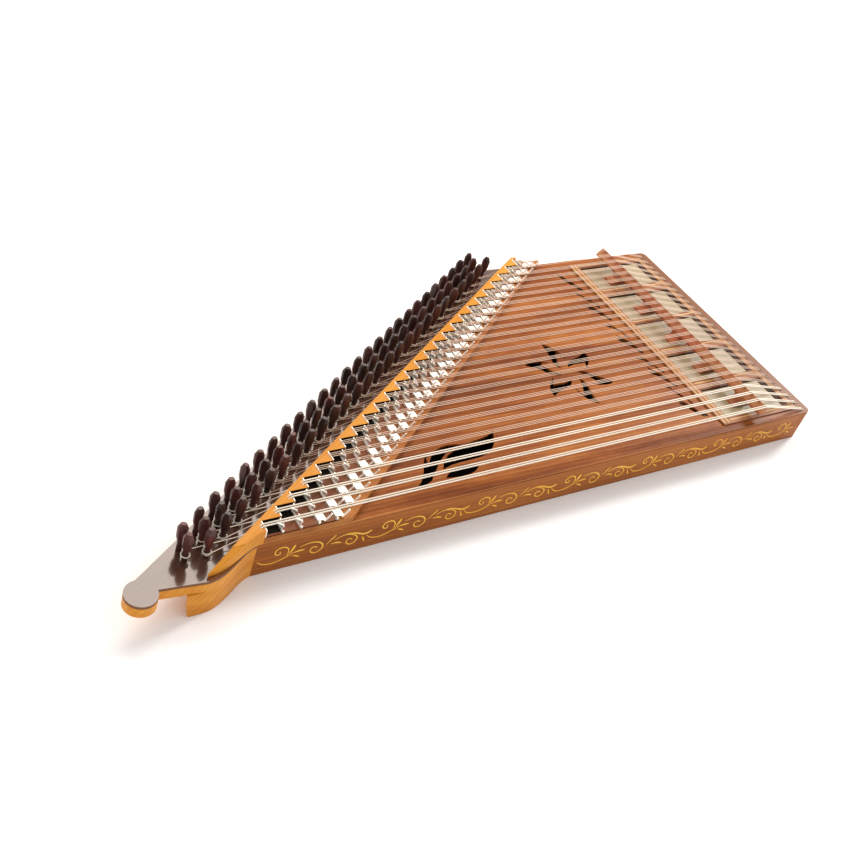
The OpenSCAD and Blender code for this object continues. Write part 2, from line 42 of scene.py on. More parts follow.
# The drawing's own numbers, in millimetres from the front right corner of the body.
DRAWN_X = 496.326
DRAWN_Y = -170.75
BODY_W = 380.0
FRONT_LEN = 848.0
BODY_H = 47.0
COURSES = 26
COURSE_PITCH = (BODY_W - 3.78) / COURSES
NUT_STEP = 22.71
SLOPE = NUT_STEP / COURSE_PITCH
SLANT = math.atan2(COURSE_PITCH, NUT_STEP)
TIPS_X = -FRONT_LEN - 16.9
EDGE_X = TIPS_X - 4.1
NUT_Z = 65.4
NUT_BOARD_TOP = BODY_H + 17.4
BRIDGE_X = -101.0
BRIDGE_Z = 69.4
LEVER_Z = 54.6
BASS_COURSES = 4
BASS_R = 0.8
TREBLE_R = 0.45
TREBLE_DRAWN = 0.34
WOUND_BASS_R = 0.62
WOUND_TREBLE_R = 0.45
BASS_SPREAD = (0, 1.45, -1.45)
TREBLE_SPREAD = (2.4, 0, -2.4)
STRING_CLEAR = 0.3
NUT_CLEAR = 0.1
TAIL_HOLE_X = -12
TAIL_HOLE_Z = 44.2
CHANNEL_RUN = 6
CHANNEL_FALL = math.tan(math.radians(25))
STEM_R = 3.0
ROW_NAMES = ("rear", "middle", "front")
REAR, MIDDLE, FRONT = range(3)
FIRST_PEG_X = TIPS_X - 59
FIRST_PEG_Y = 17
PEG_PITCH = COURSE_PITCH - 0.12
ROW_SETBACK = (0, 13.6, 28)
PEG_FROM_BACK = 5.5
WIND_Z = (BODY_H + 5.5, BODY_H + 9, BODY_H + 5.5)
JOINTED = 4
SKIN_FIELDS = [(20, 78), (94, 151), (166, 223), (231, 288), (305, 358)]
SKIN_LEFT = -152.0
SKIN_RIGHT = -29.0
FRAME_TOP = 48.9
FEET_Y = [45, 115, 181, 249, 321]
SKIN_THICK = 0.5
SKIN_UNDER_FRAME = 5


def at(x, y, z):
    """A point of the drawing, in the frame's metres."""
    return Vector(((x + DRAWN_X) * MM, (y + DRAWN_Y) * MM, z * MM))


def nut_x(k):
    """Where the metal nut of course k stands."""
    return TIPS_X + NUT_STEP * k


def course_y(k):
    """The middle line of course k."""
    return COURSE_PITCH * (k - 0.5)


def string_radius(k):
    """The radius that the CAD gives the strings of course k."""
    return BASS_R if k <= BASS_COURSES else TREBLE_R


def string_offset(k, row):
    """How far behind its course's middle line the string of a peg row lies."""
    return (BASS_SPREAD if k <= BASS_COURSES else TREBLE_SPREAD)[row]


def string_rows(k):
    """The peg rows that hold the strings of course k."""
    return (MIDDLE, FRONT) if k <= BASS_COURSES else (REAR, MIDDLE, FRONT)


def peg_place(k, row):
    """Where a peg stands; the front row sits one column further to the right."""
    column = k + 1 if row == FRONT else k
    x = FIRST_PEG_X + NUT_STEP * (column - 1)
    y = FIRST_PEG_Y + PEG_PITCH * (column - 1) - ROW_SETBACK[row]
    return x, min(y, BODY_W - PEG_FROM_BACK)


def side_of(row):
    """A string meets a middle peg on its back side and any other peg on its front side."""
    return 1 if row == MIDDLE else -1


# ---------------------------------------------------------------- working by hand

def rest():
    """Nothing selected, object mode."""
    if bpy.context.object and bpy.context.object.mode != "OBJECT":
        bpy.ops.object.mode_set(mode="OBJECT")
    bpy.ops.object.select_all(action="DESELECT")


def take(*pieces):
    """Selects these pieces alone, the last one active."""
    rest()
    for piece in pieces:
        piece.select_set(True)
    bpy.context.view_layer.objects.active = pieces[-1]


def settle(piece):
    """Puts a piece's place into its mesh, with the object at the origin."""
    take(piece)
    bpy.ops.object.transform_apply(location=True, rotation=True, scale=True)
    return piece


def copy_of(piece, name, matrix):
    """A moved copy with a mesh of its own; the object stays at the origin."""
    twin = piece.copy()
    twin.data = piece.data.copy()
    twin.name = name
    twin.data.name = name
    bpy.context.collection.objects.link(twin)
    twin.data.transform(matrix)
    return twin


def joined(name, pieces):
    """One named piece made of several."""
    take(*pieces)
    if len(pieces) > 1:
        bpy.ops.object.join()
    whole = bpy.context.object
    whole.name = name
    whole.data.name = name
    return whole


def add_modifier(piece, kind, **values):
    modifier = piece.modifiers.new(kind.title(), kind)
    for key, value in values.items():
        setattr(modifier, key, value)
    take(piece)
    bpy.ops.object.modifier_apply(modifier=modifier.name)


def select_faces(piece, wanted):
    """In edit mode, selects the faces that the test picks by centre and normal."""
    bpy.ops.mesh.select_mode(type="FACE")
    mesh = bmesh.from_edit_mesh(piece.data)
    for face in mesh.faces:
        face.select_set(bool(wanted(face.calc_center_median(), face.normal)))
    mesh.select_flush_mode()
    bmesh.update_edit_mesh(piece.data)


def smooth(piece, degrees):
    take(piece)
    bpy.ops.object.shade_smooth_by_angle(angle=math.radians(degrees))


def finish_piece(piece, material, body, slot, *replaced):
    """Gives a piece its material and the body it moves with, and hides the nodes it replaces; the
    slot is not used.
    """
    piece.data.materials.clear()
    piece.data.materials.append(material)
    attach(piece, body)
    if replaced:
        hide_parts(*replaced)


def strand(name, lines, steps=8, fine=1):
    """Round strands through lists of (point, radius), made into one mesh."""
    curve = bpy.data.curves.new(name, "CURVE")
    curve.dimensions = "3D"
    curve.bevel_depth = 1.0
    curve.bevel_resolution = fine
    curve.use_fill_caps = True
    curve.resolution_u = steps
    for kind, points in lines:
        spline = curve.splines.new(kind)
        spline.points.add(len(points) - 1)
        for place, (point, radius) in zip(spline.points, points):
            place.co = (*point, 1.0)
            place.radius = radius
        if kind == "NURBS":
            spline.order_u = 3
            spline.use_endpoint_u = True
            spline.resolution_u = steps
        spline.use_smooth = True
    piece = bpy.data.objects.new(name, curve)
    bpy.context.collection.objects.link(piece)
    take(piece)
    bpy.ops.object.convert(target="MESH")
    return bpy.context.object


# ---------------------------------------------------------------- finishes

def group_with(name, inputs, outputs):
    """A shader node group with its sockets, its entry node and its output node."""
    group = bpy.data.node_groups.new(name, "ShaderNodeTree")
    for label, kind, value in inputs:
        socket = group.interface.new_socket(label, in_out="INPUT", socket_type=kind)
        if value is not None:
            socket.default_value = value
    for label, kind in outputs:
        group.interface.new_socket(label, in_out="OUTPUT", socket_type=kind)
    return group, group.nodes.new("NodeGroupInput"), group.nodes.new("NodeGroupOutput")


NODE_SETTINGS = ("operation", "blend_type", "data_type", "feature")


def node(tree, kind, **values):
    """A shader node; the values are its own settings or the defaults of its inputs."""
    made = tree.nodes.new(kind)
    for key, value in values.items():
        if key in NODE_SETTINGS:
            setattr(made, key, value)
        else:
            made.inputs[key.replace("_", " ")].default_value = value
    return made


def ramp(tree, stops):
    """A colour ramp through stops of (place, colour)."""
    made = tree.nodes.new("ShaderNodeValToRGB")
    elements = made.color_ramp.elements
    while len(elements) < len(stops):
        elements.new(0.5)
    for element, (place, colour) in zip(elements, stops):
        element.position = place
        element.color = (*colour, 1.0)
    return made


# Radians per metre of a wave that comes back every millimetre
MM_WAVE = 6283.0


def make_grain_group():
    """Long wood grain that runs along the vector's X: slow figure, ring lines and short pores."""
    group, entry, out = group_with(
        "straight_grain",
        [("Vector", "NodeSocketVector", None), ("Ring Pitch", "NodeSocketFloat", 4.0),
         ("Waviness", "NodeSocketFloat", 1.0)],
        [("Figure", "NodeSocketFloat"), ("Rings", "NodeSocketFloat"),
         ("Pores", "NodeSocketFloat")])
    link = group.links.new
    slow = node(group, "ShaderNodeMapping", Scale=(2.2, 26.0, 26.0))
    link(entry.outputs["Vector"], slow.inputs["Vector"])
    figure = node(group, "ShaderNodeTexNoise", Scale=1.0, Detail=5.0, Roughness=0.62,
                  Distortion=0.4)
    link(slow.outputs["Vector"], figure.inputs["Vector"])
    link(figure.outputs["Fac"], out.inputs["Figure"])
    drift = node(group, "ShaderNodeMapping", Scale=(1.1, 9.0, 9.0))
    link(entry.outputs["Vector"], drift.inputs["Vector"])
    sway = node(group, "ShaderNodeTexNoise", Scale=1.0, Detail=2.0)
    link(drift.outputs["Vector"], sway.inputs["Vector"])
    parts = node(group, "ShaderNodeSeparateXYZ")
    link(entry.outputs["Vector"], parts.inputs["Vector"])
    swing = node(group, "ShaderNodeMath", operation="MULTIPLY")
    link(sway.outputs["Fac"], swing.inputs[0])
    link(entry.outputs["Waviness"], swing.inputs[1])
    swing_size = node(group, "ShaderNodeMath", operation="MULTIPLY")
    swing_size.inputs[1].default_value = 0.03
    link(swing.outputs[0], swing_size.inputs[0])
    across = node(group, "ShaderNodeMath", operation="ADD")
    link(parts.outputs["Y"], across.inputs[0])
    link(swing_size.outputs[0], across.inputs[1])
    depth = node(group, "ShaderNodeMath", operation="MULTIPLY_ADD")
    depth.inputs[1].default_value = 0.55
    link(parts.outputs["Z"], depth.inputs[0])
    link(across.outputs[0], depth.inputs[2])
    count = node(group, "ShaderNodeMath", operation="DIVIDE")
    count.inputs[0].default_value = MM_WAVE
    link(entry.outputs["Ring Pitch"], count.inputs[1])
    phase = node(group, "ShaderNodeMath", operation="MULTIPLY")
    link(depth.outputs[0], phase.inputs[0])
    link(count.outputs[0], phase.inputs[1])
    wave = node(group, "ShaderNodeMath", operation="SINE")
    link(phase.outputs[0], wave.inputs[0])
    rings = node(group, "ShaderNodeMath", operation="MULTIPLY_ADD")
    rings.inputs[1].default_value = 0.5
    rings.inputs[2].default_value = 0.5
    link(wave.outputs[0], rings.inputs[0])
    link(rings.outputs[0], out.inputs["Rings"])
    short = node(group, "ShaderNodeMapping", Scale=(110.0, 1500.0, 1500.0))
    link(entry.outputs["Vector"], short.inputs["Vector"])
    pores = node(group, "ShaderNodeTexNoise", Scale=1.0, Detail=2.0, Roughness=0.5)
    link(short.outputs["Vector"], pores.inputs["Vector"])
    step = node(group, "ShaderNodeMapRange")
    step.inputs["From Min"].default_value = 0.42
    step.inputs["From Max"].default_value = 0.66
    link(pores.outputs["Fac"], step.inputs["Value"])
    link(step.outputs["Result"], out.inputs["Pores"])
    return group


def make_handling_group():
    """Cloudy marks of use on varnish, metal and skin."""
    group, entry, out = group_with(
        "handling_marks",
        [("Vector", "NodeSocketVector", None), ("Size", "NodeSocketFloat", 30.0),
         ("Low", "NodeSocketFloat", 0.2), ("High", "NodeSocketFloat", 0.4)],
        [("Cloud", "NodeSocketFloat"), ("Roughness", "NodeSocketFloat")])
    link = group.links.new
    cloud = node(group, "ShaderNodeTexNoise", Detail=5.0, Roughness=0.6)
    link(entry.outputs["Vector"], cloud.inputs["Vector"])
    link(entry.outputs["Size"], cloud.inputs["Scale"])
    link(cloud.outputs["Fac"], out.inputs["Cloud"])
    spread = node(group, "ShaderNodeMapRange")
    spread.inputs["From Min"].default_value = 0.3
    spread.inputs["From Max"].default_value = 0.7
    link(cloud.outputs["Fac"], spread.inputs["Value"])
    link(entry.outputs["Low"], spread.inputs["To Min"])
    link(entry.outputs["High"], spread.inputs["To Max"])
    link(spread.outputs["Result"], out.inputs["Roughness"])
    return group


GRAIN = make_grain_group()
HANDLING = make_handling_group()


def new_material(name):
    material = bpy.data.materials.new(name)
    material.use_nodes = True
    return material, material.node_tree, material.node_tree.nodes["Principled BSDF"]


def placed_group(tree, group, **values):
    made = tree.nodes.new("ShaderNodeGroup")
    made.node_tree = group
    for key, value in values.items():
        made.inputs[key.replace("_", " ")].default_value = value
    return made


def mixed(tree, kind, first, second, factor=None, amount=1.0):
    """Mixes two colours; each is a socket or a plain colour."""
    mix = node(tree, "ShaderNodeMix", data_type="RGBA", blend_type=kind)
    mix.inputs["Factor"].default_value = amount
    if factor is not None:
        tree.links.new(factor, mix.inputs["Factor"])
    for value, socket in ((first, mix.inputs[6]), (second, mix.inputs[7])):
        if isinstance(value, tuple):
            socket.default_value = (*value, 1.0)
        else:
            tree.links.new(value, socket)
    return mix.outputs[2]


def scaled(tree, socket, amount, add=0.0):
    """A socket's value times an amount, plus another."""
    made = node(tree, "ShaderNodeMath", operation="MULTIPLY_ADD")
    made.inputs[1].default_value = amount
    made.inputs[2].default_value = add
    tree.links.new(socket, made.inputs[0])
    return made.outputs[0]


def wood(name, dark, middle, light, turn=(0, 0, 0), pitch=4.0, wavy=1.0, gloss=(0.28, 0.42),
         rings=0.35, pores=0.35, coat=0.0, coat_rough=0.2, bump=0.12, tint=None, shine=0.1,
         figure=0.2):
    """A varnished wood with its grain along the turned X; figure sets the width of its tones."""
    material, tree, shader = new_material(name)
    link = tree.links.new
    where = tree.nodes.new("ShaderNodeTexCoord")
    lie = node(tree, "ShaderNodeMapping", Rotation=tuple(math.radians(a) for a in turn))
    link(where.outputs["Object"], lie.inputs["Vector"])
    grain = placed_group(tree, GRAIN, Ring_Pitch=pitch, Waviness=wavy)
    link(lie.outputs["Vector"], grain.inputs["Vector"])
    tone = ramp(tree, [(0.5 - figure, dark), (0.5, middle), (0.5 + figure, light)])
    link(grain.outputs["Figure"], tone.inputs["Fac"])
    ringed = mixed(tree, "MULTIPLY", tone.outputs["Color"],
                   mixed(tree, "MIX", (0.62, 0.55, 0.5), (1.0, 1.0, 1.0),
                         factor=grain.outputs["Rings"]),
                   amount=rings)
    pored = mixed(tree, "MULTIPLY", ringed,
                  mixed(tree, "MIX", (1.0, 1.0, 1.0), (0.5, 0.42, 0.38),
                        factor=grain.outputs["Pores"]),
                  amount=pores)
    marks = placed_group(tree, HANDLING, Size=22.0, Low=gloss[0], High=gloss[1])
    link(where.outputs["Object"], marks.inputs["Vector"])
    if tint:
        shade = node(tree, "ShaderNodeMapRange")
        shade.inputs["From Min"].default_value = 0.35
        shade.inputs["From Max"].default_value = 0.65
        link(marks.outputs["Cloud"], shade.inputs["Value"])
        pored = mixed(tree, "MULTIPLY", pored,
                      mixed(tree, "MIX", (1.0, 1.0, 1.0), tint,
                            factor=shade.outputs["Result"]))
    link(pored, shader.inputs["Base Color"])
    link(marks.outputs["Roughness"], shader.inputs["Roughness"])
    height = node(tree, "ShaderNodeMath", operation="ADD")
    link(scaled(tree, grain.outputs["Pores"], -0.6), height.inputs[0])
    link(scaled(tree, grain.outputs["Rings"], 0.4), height.inputs[1])
    relief = node(tree, "ShaderNodeBump", Strength=bump, Distance=0.0003)
    link(height.outputs[0], relief.inputs["Height"])
    link(relief.outputs["Normal"], shader.inputs["Normal"])
    shader.inputs["Specular IOR Level"].default_value = shine
    shader.inputs["Coat Weight"].default_value = coat
    shader.inputs["Coat Roughness"].default_value = coat_rough
    return material


def metal(name, colour, low, high):
    """Brushed plated metal, its roughness between two values."""
    material, tree, shader = new_material(name)
    link = tree.links.new
    where = tree.nodes.new("ShaderNodeTexCoord")
    marks = placed_group(tree, HANDLING, Size=120.0, Low=low, High=high)
    link(where.outputs["Object"], marks.inputs["Vector"])
    link(marks.outputs["Roughness"], shader.inputs["Roughness"])
    worn = tuple(channel * 0.72 for channel in colour)
    link(mixed(tree, "MIX", colour, worn, factor=scaled(tree, marks.outputs["Cloud"], 0.8, -0.15)),
         shader.inputs["Base Color"])
    brush = node(tree, "ShaderNodeMapping", Scale=(72.0, 900.0, 900.0))
    link(where.outputs["Object"], brush.inputs["Vector"])
    lines = node(tree, "ShaderNodeTexNoise", Scale=1.0, Detail=2.0)
    link(brush.outputs["Vector"], lines.inputs["Vector"])
    relief = node(tree, "ShaderNodeBump", Strength=0.05, Distance=0.0001)
    link(lines.outputs["Fac"], relief.inputs["Height"])
    link(relief.outputs["Normal"], shader.inputs["Normal"])
    shader.inputs["Metallic"].default_value = 0.7
    return material


# Wave texture scale at which a turn comes back every millimetre
WAVES_PER_METRE = 1000.0 / 3.1416


def twisted(name, colour, shade, pitch, rough, bump):
    """Wound or twisted string: slanting turns that read along the string."""
    material, tree, shader = new_material(name)
    link = tree.links.new
    where = tree.nodes.new("ShaderNodeTexCoord")
    lie = node(tree, "ShaderNodeMapping", Rotation=(0, 0, math.radians(38)))
    link(where.outputs["Object"], lie.inputs["Vector"])
    turns = node(tree, "ShaderNodeTexWave", Scale=WAVES_PER_METRE / pitch, Distortion=0.3,
                 Detail=1.0)
    link(lie.outputs["Vector"], turns.inputs["Vector"])
    marks = placed_group(tree, HANDLING, Size=60.0, Low=rough - 0.08, High=rough + 0.1)
    link(where.outputs["Object"], marks.inputs["Vector"])
    link(mixed(tree, "MIX", shade, colour, factor=turns.outputs["Fac"]),
         shader.inputs["Base Color"])
    link(marks.outputs["Roughness"], shader.inputs["Roughness"])
    relief = node(tree, "ShaderNodeBump", Strength=bump, Distance=0.0002)
    link(turns.outputs["Fac"], relief.inputs["Height"])
    link(relief.outputs["Normal"], shader.inputs["Normal"])
    return material


def skin_material():
    """Fish or goat skin: cloudy, finely spotted, with small scales in its relief."""
    material, tree, shader = new_material("stretched_skin")
    link = tree.links.new
    where = tree.nodes.new("ShaderNodeTexCoord")
    marks = placed_group(tree, HANDLING, Size=16.0, Low=0.42, High=0.6)
    link(where.outputs["Object"], marks.inputs["Vector"])
    fine = node(tree, "ShaderNodeTexNoise", Scale=220.0, Detail=6.0, Roughness=0.65)
    link(where.outputs["Object"], fine.inputs["Vector"])
    scales = node(tree, "ShaderNodeTexVoronoi", Scale=420.0, feature="DISTANCE_TO_EDGE")
    link(where.outputs["Object"], scales.inputs["Vector"])
    tone = ramp(tree, [(0.3, (0.26, 0.2, 0.115)), (0.52, (0.36, 0.29, 0.175)),
                       (0.72, (0.45, 0.38, 0.24))])
    link(marks.outputs["Cloud"], tone.inputs["Fac"])
    spotted = mixed(tree, "MULTIPLY", tone.outputs["Color"],
                    mixed(tree, "MIX", (0.7, 0.64, 0.56), (1.0, 1.0, 1.0),
                          factor=fine.outputs["Fac"]),
                    amount=0.6)
    link(spotted, shader.inputs["Base Color"])
    link(marks.outputs["Roughness"], shader.inputs["Roughness"])
    height = node(tree, "ShaderNodeMath", operation="ADD")
    link(scaled(tree, scales.outputs["Distance"], 2.0), height.inputs[0])
    link(fine.outputs["Fac"], height.inputs[1])
    relief = node(tree, "ShaderNodeBump", Strength=0.25, Distance=0.0003)
    link(height.outputs[0], relief.inputs["Height"])
    link(relief.outputs["Normal"], shader.inputs["Normal"])
    shader.inputs["Subsurface Weight"].default_value = 0.08
    shader.inputs["Subsurface Radius"].default_value = (0.004, 0.002, 0.001)
    return material


def faced(material, level, below=None, above=None, times=None, coat=None, matt=0.0,
          axis="Z"):
    """Gives one side of a level a look of its own: a colour below or above it, the old colour
    times another above it, or a coat above it and a matt finish below."""
    tree = material.node_tree
    shader = tree.nodes["Principled BSDF"]
    where = tree.nodes.new("ShaderNodeTexCoord")
    parts = tree.nodes.new("ShaderNodeSeparateXYZ")
    tree.links.new(where.outputs["Object"], parts.inputs["Vector"])
    mask = node(tree, "ShaderNodeMath", operation="GREATER_THAN")
    mask.inputs[1].default_value = level * MM
    tree.links.new(parts.outputs[axis], mask.inputs[0])
    old = shader.inputs["Base Color"].links[0].from_socket
    if times:
        above = mixed(tree, "MULTIPLY", old, times)
    tree.links.new(mixed(tree, "MIX", below or old, above or old, factor=mask.outputs[0]),
                   shader.inputs["Base Color"])
    if coat is not None:
        tree.links.new(scaled(tree, mask.outputs[0], coat), shader.inputs["Coat Weight"])
        rough = node(tree, "ShaderNodeMath", operation="ADD")
        tree.links.new(shader.inputs["Roughness"].links[0].from_socket, rough.inputs[0])
        tree.links.new(scaled(tree, mask.outputs[0], -matt, matt), rough.inputs[1])
        tree.links.new(rough.outputs[0], shader.inputs["Roughness"])
    return material


SLANT_TURN = -math.degrees(SLANT)
RIGHT_MARGIN_X = DRAWN_X - 21.5
INSIDE_FLOOR_Z = 2.9
VENEER_TOP = BODY_H - 0.05
BODY_TONES = ((0.24, 0.07, 0.012), (0.37, 0.115, 0.02), (0.47, 0.165, 0.034))
BODY_GRAIN = {"pitch": 7.0, "wavy": 1.5, "gloss": (0.34, 0.48)}

BOARD = faced(wood("soundboard_wood", (0.175, 0.045, 0.007), (0.325, 0.098, 0.016),
                   (0.47, 0.175, 0.04), pitch=5.2, wavy=1.2, gloss=(0.34, 0.46), rings=0.65,
                   pores=0.3, figure=0.13, tint=(0.82, 0.71, 0.7)),
              RIGHT_MARGIN_X, above=(0.2, 0.085, 0.04), axis="X")
SIDE = wood("side_wood", *BODY_TONES, turn=(90, 0, 0), **BODY_GRAIN)
# Painted shade: above its inner level the bottom board's inside face is painted near black, for the
# shaded inside of the body.
BOTTOM = faced(wood("bottom_wood", *BODY_TONES, **BODY_GRAIN), INSIDE_FLOOR_Z,
               above=(0.012, 0.009, 0.008))
TAIL = wood("tail_wood", *BODY_TONES, turn=(0, 0, 90), **BODY_GRAIN)
# Painted shade: above the nut board's top level the maple is multiplied darker and deeper in
# colour, for how light falls on the top.
MAPLE = faced(wood("maple_block", (0.53, 0.175, 0.012), (0.68, 0.27, 0.03), (0.8, 0.37, 0.06),
                   turn=(0, 0, SLANT_TURN), pitch=6.0, wavy=2.0, gloss=(0.3, 0.42), rings=0.25,
                   pores=0.15, coat=0.03),
              NUT_BOARD_TOP - 0.2, times=(0.84, 0.82, 0.66))
VENEER = faced(wood("dark_veneer", (0.04, 0.015, 0.008), (0.066, 0.026, 0.015),
                    (0.1, 0.042, 0.025), turn=(0, 0, SLANT_TURN), pitch=5.0, gloss=(0.16, 0.26),
                    rings=0.3, pores=0.2, bump=0.04, coat_rough=0.09, shine=0.3),
               VENEER_TOP, below=(0.17, 0.062, 0.018), coat=1.0, matt=0.3)
NOSE_BAND = wood("nose_band_wood", (0.12, 0.04, 0.012), (0.18, 0.064, 0.018), (0.24, 0.09, 0.026),
                 turn=(0, 0, SLANT_TURN), pitch=4.0, gloss=(0.4, 0.5))
LEVER_BED = wood("lever_bed_wood", (0.27, 0.085, 0.018), (0.4, 0.14, 0.032), (0.5, 0.2, 0.05),
                 turn=(0, 0, SLANT_TURN), pitch=4.0, gloss=(0.3, 0.45), rings=0.4)
PAD = wood("pad_wood", (0.12, 0.042, 0.018), (0.21, 0.074, 0.03), (0.31, 0.115, 0.042),
           pitch=3.0, gloss=(0.28, 0.42), rings=0.4, pores=0.4, coat=0.05, tint=(1.0, 0.82, 0.75))
# Painted shade: a near-black wood colour for the strips that stand for shadow between the pads and
# along the skin windows.
PAINTED_SHADE_WOOD = wood("painted_shade_wood", (0.028, 0.011, 0.006), (0.05, 0.02, 0.011), (0.08, 0.032, 0.018),
             pitch=3.0, gloss=(0.45, 0.6), rings=0.3, pores=0.3, shine=0.05)
RIM = wood("window_rim_wood", (0.25, 0.1, 0.045), (0.36, 0.155, 0.073), (0.46, 0.22, 0.11),
           turn=(0, 0, 90), pitch=3.4, gloss=(0.34, 0.46), rings=0.4)
BRIDGE = wood("bridge_wood", (0.28, 0.095, 0.045), (0.44, 0.185, 0.085), (0.6, 0.32, 0.13),
              turn=(0, 0, 90), pitch=3.0, gloss=(0.34, 0.46), rings=0.4, figure=0.14,
              tint=(0.95, 0.62, 0.62))
BRACE = wood("brace_wood", (0.1, 0.055, 0.03), (0.15, 0.085, 0.045), (0.2, 0.12, 0.065),
             turn=(0, 0, 90), pitch=3.0, gloss=(0.5, 0.7), rings=0.3)
PEG = wood("peg_wood", (0.009, 0.005, 0.004), (0.016, 0.008, 0.006), (0.034, 0.015, 0.011),
           turn=(0, 90, 0), pitch=2.0, gloss=(0.34, 0.48), rings=0.3, pores=0.3, coat=0.1,
           tint=(4.4, 1.9, 1.9), shine=0.4)
INLAY = wood("pale_inlay", (0.5, 0.28, 0.11), (0.63, 0.38, 0.16), (0.73, 0.48, 0.22),
             turn=(0, 0, 90), pitch=2.0, gloss=(0.3, 0.4), rings=0.2, pores=0.1)
# Painted highlight: a wood colour paler than the soundboard, for the strip that stands for the lit
# top edge of the front side.
EDGE = wood("painted_highlight_edge", (0.36, 0.12, 0.025), (0.46, 0.17, 0.04), (0.56, 0.24, 0.06),
            pitch=2.0, gloss=(0.3, 0.4), rings=0.2, pores=0.1)
# Near black: the dark faces of the nut board's steps, and painted shade on the first pads and in
# the chain of leaves.
SHADE = wood("dark_plate_and_painted_shade", (0.006, 0.004, 0.003), (0.01, 0.007, 0.005), (0.018, 0.012, 0.009),
             gloss=(0.5, 0.65), rings=0.2, pores=0.2, shine=0.03)
NICKEL = metal("nickel", (0.97, 0.93, 0.85), 0.36, 0.5)
GOLD = wood("gold_leaf", (0.8, 0.38, 0.03), (0.95, 0.5, 0.055), (1.0, 0.64, 0.12),
            pitch=1.5, gloss=(0.3, 0.45), rings=0.15, pores=0.2, bump=0.1)
SKIN = skin_material()
BASS = twisted("wound_string", (0.88, 0.82, 0.7), (0.62, 0.53, 0.42), 1.5, 0.38, 0.4)
TREBLE = wood("clear_string", (0.66, 0.47, 0.35), (0.74, 0.55, 0.42), (0.8, 0.62, 0.5),
              pitch=30.0, gloss=(0.3, 0.4), rings=0.0, pores=0.1, bump=0.0, shine=0.3)

NODE_FINISH = {
    "bottom_board": BOTTOM, "front_side": SIDE, "back_side": SIDE, "tail_block": TAIL,
    "slant_rail": MAPLE, "end_block": MAPLE, "peg_board": MAPLE, "peg_board_veneer": VENEER,
    "soundboard": BOARD,
    "braces": BRACE, "lever_board": LEVER_BED, "nut_board": MAPLE, "metal_nuts": NICKEL,
    "lever_pads": PAD, "lever_brackets": NICKEL, "levers_raised": NICKEL, "levers_lying": NICKEL,
    "skin_frame": RIM, "skin": SKIN, "bridge": BRIDGE, "bridge_feet": BRIDGE,
    "strings_bass": BASS, "strings_treble": TREBLE, "pegs_rear": PEG, "pegs_middle": PEG,
    "pegs_front": PEG}
for name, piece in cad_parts.items():
    finish = NODE_FINISH.get(name) or (NICKEL if name.startswith("lever_") else PEG)
    piece.data.materials.clear()
    piece.data.materials.append(finish)


# ---------------------------------------------------------------- pegs and their windings

STEM_LENGTH = 33
STEM_MIDDLE = -4.5
NECK_MIDDLE = 12
NECK_THICK = 1.2
# Height above the peg board, half width and half thickness of a head's rings of corners
HEAD_RINGS = [(15, 3.8, 2.6), (19.5, 5.0, 3.1), (30.6, 5.4, 3.3), (36.4, 2.9, 2.2)]
# The flat face's share of the half width, and what is left of the half thickness at the edges
FLAT_SHARE = 0.6
EDGE_SHARE = 0.34
TURN_POINTS = 16
BASS_TURNS = 2.2
TREBLE_TURNS = 3.2
FIRST_TURN_LOOSE = 0.55


def peg_blank():
    """One peg at the origin, its zero at the peg board's top: round stem, flat faceted head."""
    rest()
    bpy.ops.mesh.primitive_cylinder_add(vertices=32, radius=STEM_R * MM, depth=STEM_LENGTH * MM,
                                        location=(0, 0, STEM_MIDDLE * MM))
    stem = settle(bpy.context.object)
    rest()
    bpy.ops.mesh.primitive_cylinder_add(vertices=8, radius=STEM_R * MM, depth=NECK_THICK * MM,
                                        location=(0, 0, NECK_MIDDLE * MM),
                                        rotation=(0, 0, math.radians(22.5)))
    head = settle(bpy.context.object)
    bpy.ops.object.mode_set(mode="EDIT")
    level, width, depth = NECK_MIDDLE + NECK_THICK / 2, STEM_R, STEM_R
    for z, w, d in HEAD_RINGS:
        select_faces(head, lambda c, n: n.z > 0.9 and c.z > (level - 0.3) * MM)
        bpy.ops.mesh.extrude_region_move(
            TRANSFORM_OT_translate={"value": (0, 0, (z - level) * MM)})
        bpy.ops.transform.resize(value=(w / width, d / depth, 1), center_override=(0, 0, z * MM))
        level, width, depth = z, w, d
    bpy.ops.object.mode_set(mode="OBJECT")
    for vertex in head.data.vertices:
        for z, w, d in HEAD_RINGS:
            if abs(vertex.co.z - z * MM) < 0.1 * MM:
                broad = abs(vertex.co.x) < FLAT_SHARE * w * MM
                vertex.co.x = math.copysign((FLAT_SHARE if broad else 1.0) * w * MM, vertex.co.x)
                vertex.co.y = math.copysign((1.0 if broad else EDGE_SHARE) * d * MM, vertex.co.y)
    add_modifier(head, "BEVEL", width=0.12 * MM, segments=1, limit_method="ANGLE",
                 angle_limit=math.radians(14))
    peg = joined("peg_blank", [head, stem])
    smooth(peg, 12)
    return peg


def winding(name, k, row):
    """The turns of string round one stem, from where the string meets it down to the board."""
    bass = k <= BASS_COURSES
    r = WOUND_BASS_R if bass else WOUND_TREBLE_R
    turns = BASS_TURNS if bass else TREBLE_TURNS
    x, y = peg_place(k, row)
    start = STEM_R + string_radius(k) + STRING_CLEAR
    points = []
    for i in range(int(turns * TURN_POINTS) + 1):
        t = i / TURN_POINTS
        angle = side_of(row) * (math.pi / 2 + 2 * math.pi * t)
        loose = math.sin(math.pi * min(1.0, t))
        reach = max(start + FIRST_TURN_LOOSE * loose - 0.12 * t, STEM_R + r * 0.9)
        z = WIND_Z[row] - 2.15 * r * t - 0.5 * loose
        points.append((at(x + reach * math.cos(angle), y + reach * math.sin(angle), z), r * MM))
    return strand(name, [("POLY", points)], fine=0)


